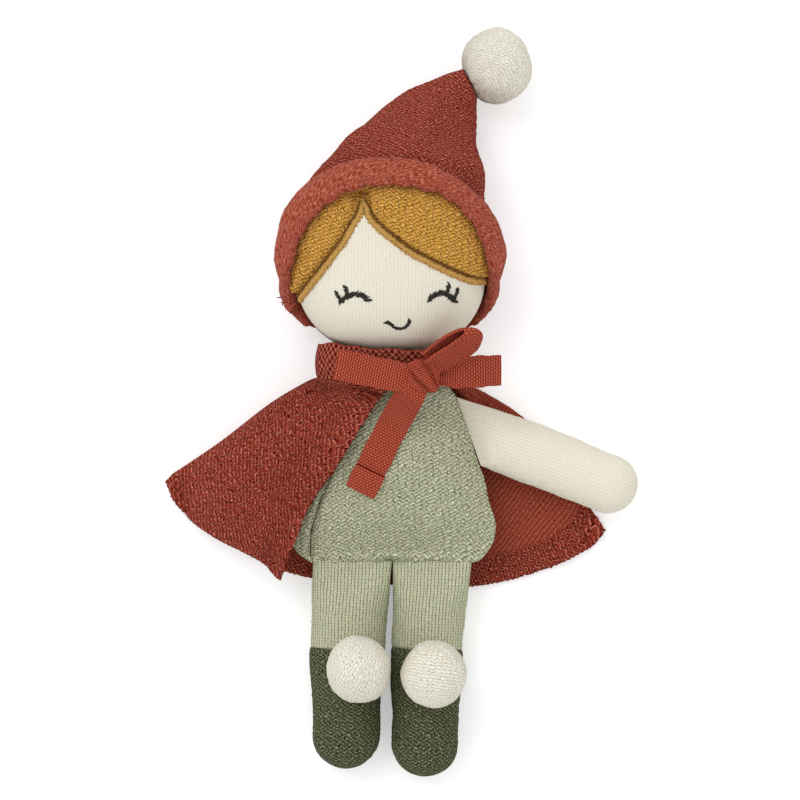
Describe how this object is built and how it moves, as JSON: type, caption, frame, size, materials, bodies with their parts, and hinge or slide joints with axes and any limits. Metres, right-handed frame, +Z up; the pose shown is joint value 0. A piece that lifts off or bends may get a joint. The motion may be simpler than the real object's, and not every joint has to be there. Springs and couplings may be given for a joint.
{
  "type": "stuffed elf doll",
  "caption": "Soft knitted elf doll with a pointed pompom hat, cape and ribbon bow, limp arms and legs, and ankle boots with pompoms.",
  "frame": {"origin": "middle of the doll's bounding box, on the floor that it lies on", "axes": "+X across the doll, towards the arm that is spread in the picture, +Y from the boots to the hat, +Z up from the floor, out of the face"},
  "size_m": [0.1584, 0.247, 0.0509],
  "materials": {
    "cream_jersey": "fine cream jersey knit, matt",
    "sage_knit": "chunky sage green knit, matt",
    "sage_jersey": "fine light sage jersey knit, matt",
    "green_knit": "chunky dark green knit, matt",
    "rust_knit": "chunky rust red knit, matt",
    "brim_knit": "reverse side of a rust red knit, fuzzy",
    "ochre_knit": "ochre yellow knit, matt",
    "pompom_knit": "cream knit, matt",
    "cotton_tape": "woven red cotton tape, matt",
    "filling": "loose polyester fibre filling"
  },
  "bodies": {
    "torso": {"tunic_front": "sage_knit", "tunic_back": "sage_knit", "tunic_filling": "filling", "neck": "cream_jersey", "collar": "rust_knit", "cape": "rust_knit", "bow_knot": "cotton_tape", "bow_loop_left": "cotton_tape", "bow_loop_right": "cotton_tape", "bow_tail_left": "cotton_tape", "bow_tail_right": "cotton_tape"},
    "head": {"face": "cream_jersey", "head_back": "ochre_knit", "head_filling": "filling", "hair_left": "ochre_knit", "hair_right": "ochre_knit", "hat_cone": "rust_knit", "hat_filling": "filling", "hat_brim": "brim_knit"},
    "hat_tip": {"hat_pompom": "pompom_knit", "hat_pompom_filling": "filling"},
    "left_arm": {"arm_left": "cream_jersey", "arm_left_filling": "filling"},
    "right_arm": {"arm_right": "cream_jersey", "arm_right_filling": "filling"},
    "left_leg": {"leg_left": "sage_jersey", "boot_left": "green_knit", "leg_left_filling": "filling", "boot_left_pompom": "pompom_knit", "boot_left_pompom_filling": "filling"},
    "right_leg": {"leg_right": "sage_jersey", "boot_right": "green_knit", "leg_right_filling": "filling", "boot_right_pompom": "pompom_knit", "boot_right_pompom_filling": "filling"}
  },
  "joints": [
    {"name": "head_turn", "type": "hinge", "parent": "torso", "child": "head", "pos_m": [-0.00291, 0.01685, 0.0155], "axis": [0, 1, 0], "range_deg": [-30, 30]},
    {"name": "hat_flop", "type": "hinge", "parent": "head", "child": "hat_tip", "pos_m": [0.00019, 0.0911, 0.012], "axis": [0, 0, 1], "range_deg": [-20, 50], "deforming": ["hat_cone", "hat_filling"]},
    {"name": "shoulder_left", "type": "hinge", "parent": "torso", "child": "left_arm", "pos_m": [-0.02765, -0.00875, 0.01535], "axis": [0.3358, 0.9419, 0], "range_deg": [0, 60], "deforming": ["cape"]},
    {"name": "shoulder_right", "type": "hinge", "parent": "torso", "child": "right_arm", "pos_m": [0.02283, -0.00875, 0.01535], "axis": [0.3358, -0.9419, 0], "range_deg": [0, 90]},
    {"name": "hip_left", "type": "hinge", "parent": "torso", "child": "left_leg", "pos_m": [-0.01581, -0.05145, 0.01535], "axis": [-1, 0, 0], "range_deg": [0, 90]},
    {"name": "hip_right", "type": "hinge", "parent": "torso", "child": "right_leg", "pos_m": [0.01099, -0.05145, 0.01535], "axis": [-1, 0, 0], "range_deg": [0, 90]}
  ]
}
